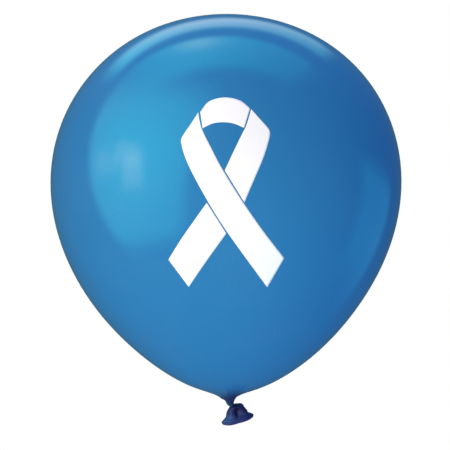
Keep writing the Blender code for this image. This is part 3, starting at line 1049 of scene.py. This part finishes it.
# Softboxes that the gloss reflects. Each has four edges, as a vector across the edge and a softness,
# the light's colour, its change from left to right, and any hot spot's azimuth, elevation, size and
# colour.
SOFTBOXES = (
    ("window", (((-0.89, 0.42, 0.18), 0.12), ((-0.12, -0.91, 0.40), 0.08),
                ((-0.45, -0.30, 0.84), 0.12), ((-0.70, -0.55, -0.46), 0.30)),
     (0.3, 0.83, 0.83), 0.0, (63, 16, 0.46, (0.1, 1.25, 1.3))),
    ("first pane", (((-0.07, -1.0, 0.0), 0.09), ((-0.19, 0.98, 0.0), 0.09),
                    ((0.06, 0.0, 1.0), 0.10), ((-0.25, 0.0, -0.97), 0.10)),
     (1.2, 0.37, 0.16), 0.0, None),
    ("second pane", (((0.19, -0.98, 0.0), 0.06), ((-0.52, 0.86, 0.0), 0.07),
                     ((0.12, 0.05, 0.99), 0.10), ((-0.33, -0.13, -0.93), 0.05)),
     (1.9, 0.48, 0.27), 0.0, None),
    ("third pane", (((0.34, -0.94, 0.0), 0.06), ((-0.57, 0.82, 0.0), 0.06),
                    ((-0.05, -0.03, 1.0), 0.10), ((-0.23, -0.12, -0.97), 0.07)),
     (2.5, 0.58, 0.37), 0.0, None),
    ("overhead", (((0.0, 0.99, 0.11), 0.14), ((-0.07, -0.88, 0.47), 0.06),
                  ((-0.83, 0.05, 0.56), 0.08), ((0.87, 0.11, 0.48), 0.35)),
     (0.05, 0.9, 0.85), -1.1, (156, 66, 0.10, (1.25, 0.63, 0.37))),
    ("rear strip", (((0.15, -0.48, 0.87), 0.10), ((-0.04, 0.74, -0.67), 0.08),
                    ((0.75, 0.02, 0.66), 0.12), ((-0.80, -0.02, 0.60), 0.05)),
     (0.1, 0.92, 0.87), -0.9, (175, 33, 0.25, (0.96, 0.17, 0.13))),
    ("right window", (((0.72, -0.69, 0.0), 0.08), ((0.20, -0.23, -0.95), 0.09),
                      ((-0.17, 0.99, 0.0), 0.12), ((0.43, 0.20, 0.88), 0.20)),
     (0.05, 0.36, 0.57), 0.0, None),
)
# What the gloss reflects between the softboxes
ROOM_GLOW = (0.06, 0.13, 0.13)

# Fill light on matt surfaces: its mean, and how it grows along X, Y and Z, for red, green and blue
FILL = ((0.40, (-0.36, -0.12, 0.12)), (0.46, (-0.15, 0.0, 0.0)), (0.77, (0.07, 0.45, 0.04)))


def make_world():
    """White to the camera, a graded fill to matt surfaces, and softboxes in a dim room to gloss."""
    world = bpy.data.worlds.new("studio")
    bpy.context.scene.world = world
    world.use_nodes = True
    world.cycles.sampling_method = "NONE"
    tree = world.node_tree
    tree.nodes.clear()
    direction = tree.nodes.new("ShaderNodeTexCoord").outputs["Generated"]

    fill = tree.nodes.new("ShaderNodeCombineXYZ")
    for socket, (mean, growth) in zip(fill.inputs, FILL):
        level = math_node(tree, "ADD", dot_node(tree, direction, growth), mean)
        tree.links.new(math_node(tree, "MAXIMUM", level, 0.0), socket)

    shared = softbox_group()
    room = tree.nodes.new("ShaderNodeCombineXYZ")
    for socket, level in zip(room.inputs, ROOM_GLOW):
        socket.default_value = level
    room = room.outputs[0]
    for _, edges, colour, growth, hot_spot in SOFTBOXES:
        box = tree.nodes.new("ShaderNodeGroup")
        box.node_tree = shared
        tree.links.new(direction, box.inputs["Direction"])
        for label, (across, softness) in zip(EDGES, edges):
            box.inputs[label + " Edge"].default_value = Vector(across).normalized()
            box.inputs[label + " Softness"].default_value = softness
        level = math_node(tree, "ADD", dot_node(tree, direction, (growth, 0.0, 0.0)), 1.0)
        level = math_node(tree, "MULTIPLY", math_node(tree, "MAXIMUM", level, 0.0), box.outputs["Mask"])
        lit = [(level, colour)]
        if hot_spot:
            azimuth, elevation, size, hot_colour = hot_spot
            box.inputs["Hot Spot"].default_value = towards(azimuth, elevation)
            box.inputs["Hot Spot Size"].default_value = size
            lit.append((box.outputs["Hot Mask"], hot_colour))
        for share, tint in lit:
            glow = tree.nodes.new("ShaderNodeVectorMath")
            glow.operation = "MULTIPLY_ADD"
            glow.inputs[0].default_value = tint
            tree.links.new(share, glow.inputs[1])
            tree.links.new(room, glow.inputs[2])
            room = glow.outputs[0]

    backgrounds = []
    for colour in (fill.outputs[0], room, (1.0, 1.0, 1.0, 1.0)):
        background = tree.nodes.new("ShaderNodeBackground")
        if isinstance(colour, bpy.types.NodeSocket):
            tree.links.new(colour, background.inputs["Color"])
        else:
            background.inputs["Color"].default_value = colour
        backgrounds.append(background.outputs[0])
    rays = tree.nodes.new("ShaderNodeLightPath")
    shown = backgrounds[0]
    for ray, other in (("Is Glossy Ray", backgrounds[1]), ("Is Camera Ray", backgrounds[2])):
        mix = tree.nodes.new("ShaderNodeMixShader")
        tree.links.new(rays.outputs[ray], mix.inputs[0])
        tree.links.new(shown, mix.inputs[1])
        tree.links.new(other, mix.inputs[2])
        shown = mix.outputs[0]
    output = tree.nodes.new("ShaderNodeOutputWorld")
    tree.links.new(shown, output.inputs["Surface"])


def make_floor():
    """The disc of paper, which neither lights the balloon nor shows in its gloss."""
    shape = bmesh.new()
    down = Matrix.Translation((0, 0, FLOOR_Z))
    bmesh.ops.create_circle(shape, cap_ends=True, segments=FLOOR_STEPS, radius=FLOOR_RADIUS, matrix=down)
    bmesh.ops.recalc_face_normals(shape, faces=shape.faces)
    shape.normal_update()
    if sum(face.normal.z for face in shape.faces) < 0:
        bmesh.ops.reverse_faces(shape, faces=shape.faces)
    mesh = bpy.data.meshes.new("floor")
    shape.to_mesh(mesh)
    shape.free()
    mesh.materials.append(floor_material())
    floor = bpy.data.objects.new("floor", mesh)
    bpy.context.scene.collection.objects.link(floor)
    floor.visible_glossy = False
    floor.visible_diffuse = False


def make_balloon():
    """Every piece, with its finish."""
    taut = latex_material(
        "stretched_latex_film",
        film={"Cloud Scale": 9.0, "Cloud Depth": 0.05, "Speck Scale": 700.0, "Speck Depth": 0.03},
        bloom={"Patch Scale": 14.0, "Grain Scale": 900.0, "Amount": 0.035},
        relief={"Wave Scale": 22.0, "Wave Height": 0.25, "Grain Scale": 1300.0, "Grain Height": 0.02},
        rough_taut=0.10,
        rough_slack=0.45,
        relief_strength=0.10,
        sockets={"IOR": 1.5, "Specular IOR Level": 1.0, "Specular Tint": (0.25, 1.0, 1.0, 1.0)},
    )
    slack = latex_material(
        "unstretched_latex_film",
        film={"Cloud Scale": 160.0, "Cloud Depth": 0.14, "Speck Scale": 2500.0, "Speck Depth": 0.06},
        bloom={"Patch Scale": 220.0, "Grain Scale": 4000.0, "Amount": 0.16},
        relief={"Wave Scale": 300.0, "Wave Height": 0.5, "Grain Scale": 5000.0, "Grain Height": 0.12,
                "Wrinkle Scale": 900.0, "Wrinkle Height": 0.45},
        rough_taut=0.26,
        rough_slack=0.38,
        relief_strength=0.35,
        sockets={"IOR": 1.5, "Specular IOR Level": 0.6, "Specular Tint": (0.5, 0.5, 0.9, 1.0)},
    )
    ink = ink_material()
    make_skin(taut)
    make_knot_strand(slack)
    make_knot_wrap(slack)
    make_tail(slack)
    make_lip(slack)
    make_ink("ribbon_loop", "print_loop", LOOP_INNER, LOOP_OUTER, 40, 12, ink)
    make_ink("ribbon_front_leg", "print_front_leg", FRONT_LEFT, FRONT_RIGHT, 90, 16, ink)
    make_ink("ribbon_back_leg_upper", "print_back_leg_upper", BACK_TOP_LEFT, BACK_TOP_RIGHT, 50, 16, ink)
    make_ink("ribbon_back_leg_lower", "print_back_leg_lower", BACK_END_LEFT, BACK_END_RIGHT, 40, 16, ink)


make_camera()
make_balloon()
make_world()
for lamp_name, lamp_values in LAMPS.items():
    make_lamp(lamp_name, *lamp_values)
make_floor()
bpy.context.scene.view_settings.view_transform = "Standard"
